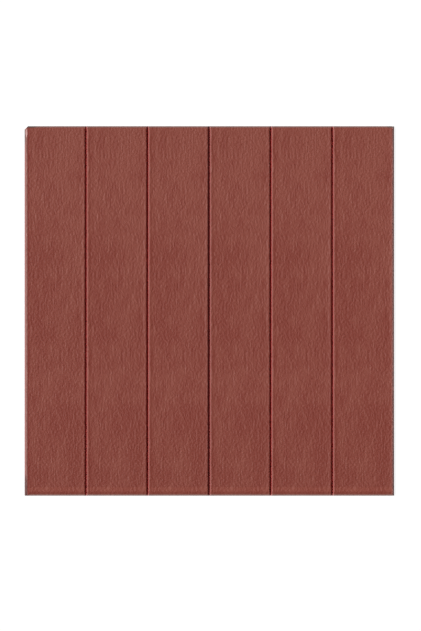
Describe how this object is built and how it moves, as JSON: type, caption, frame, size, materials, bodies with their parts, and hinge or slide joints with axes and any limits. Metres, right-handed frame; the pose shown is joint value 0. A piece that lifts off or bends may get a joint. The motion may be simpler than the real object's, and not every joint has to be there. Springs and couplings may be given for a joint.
{
  "type": "foam wall panel tile",
  "caption": "Square peel-and-stick foam wall panel whose wood-look face is pressed into equal planks by narrow rounded grooves, with half a groove down each long edge.",
  "frame": {"origin": "middle of the flat back, the face that is stuck to the wall", "axes": "+Z out of the planked face, +Y along the planks to the picture's top edge, +X across the planks to the picture's right"},
  "size_m": [0.7, 0.7, 0.006],
  "materials": {
    "foam_film": "matte"
  },
  "bodies": {
    "root": {"foam_panel": "foam_film"}
  },
  "joints": []
}
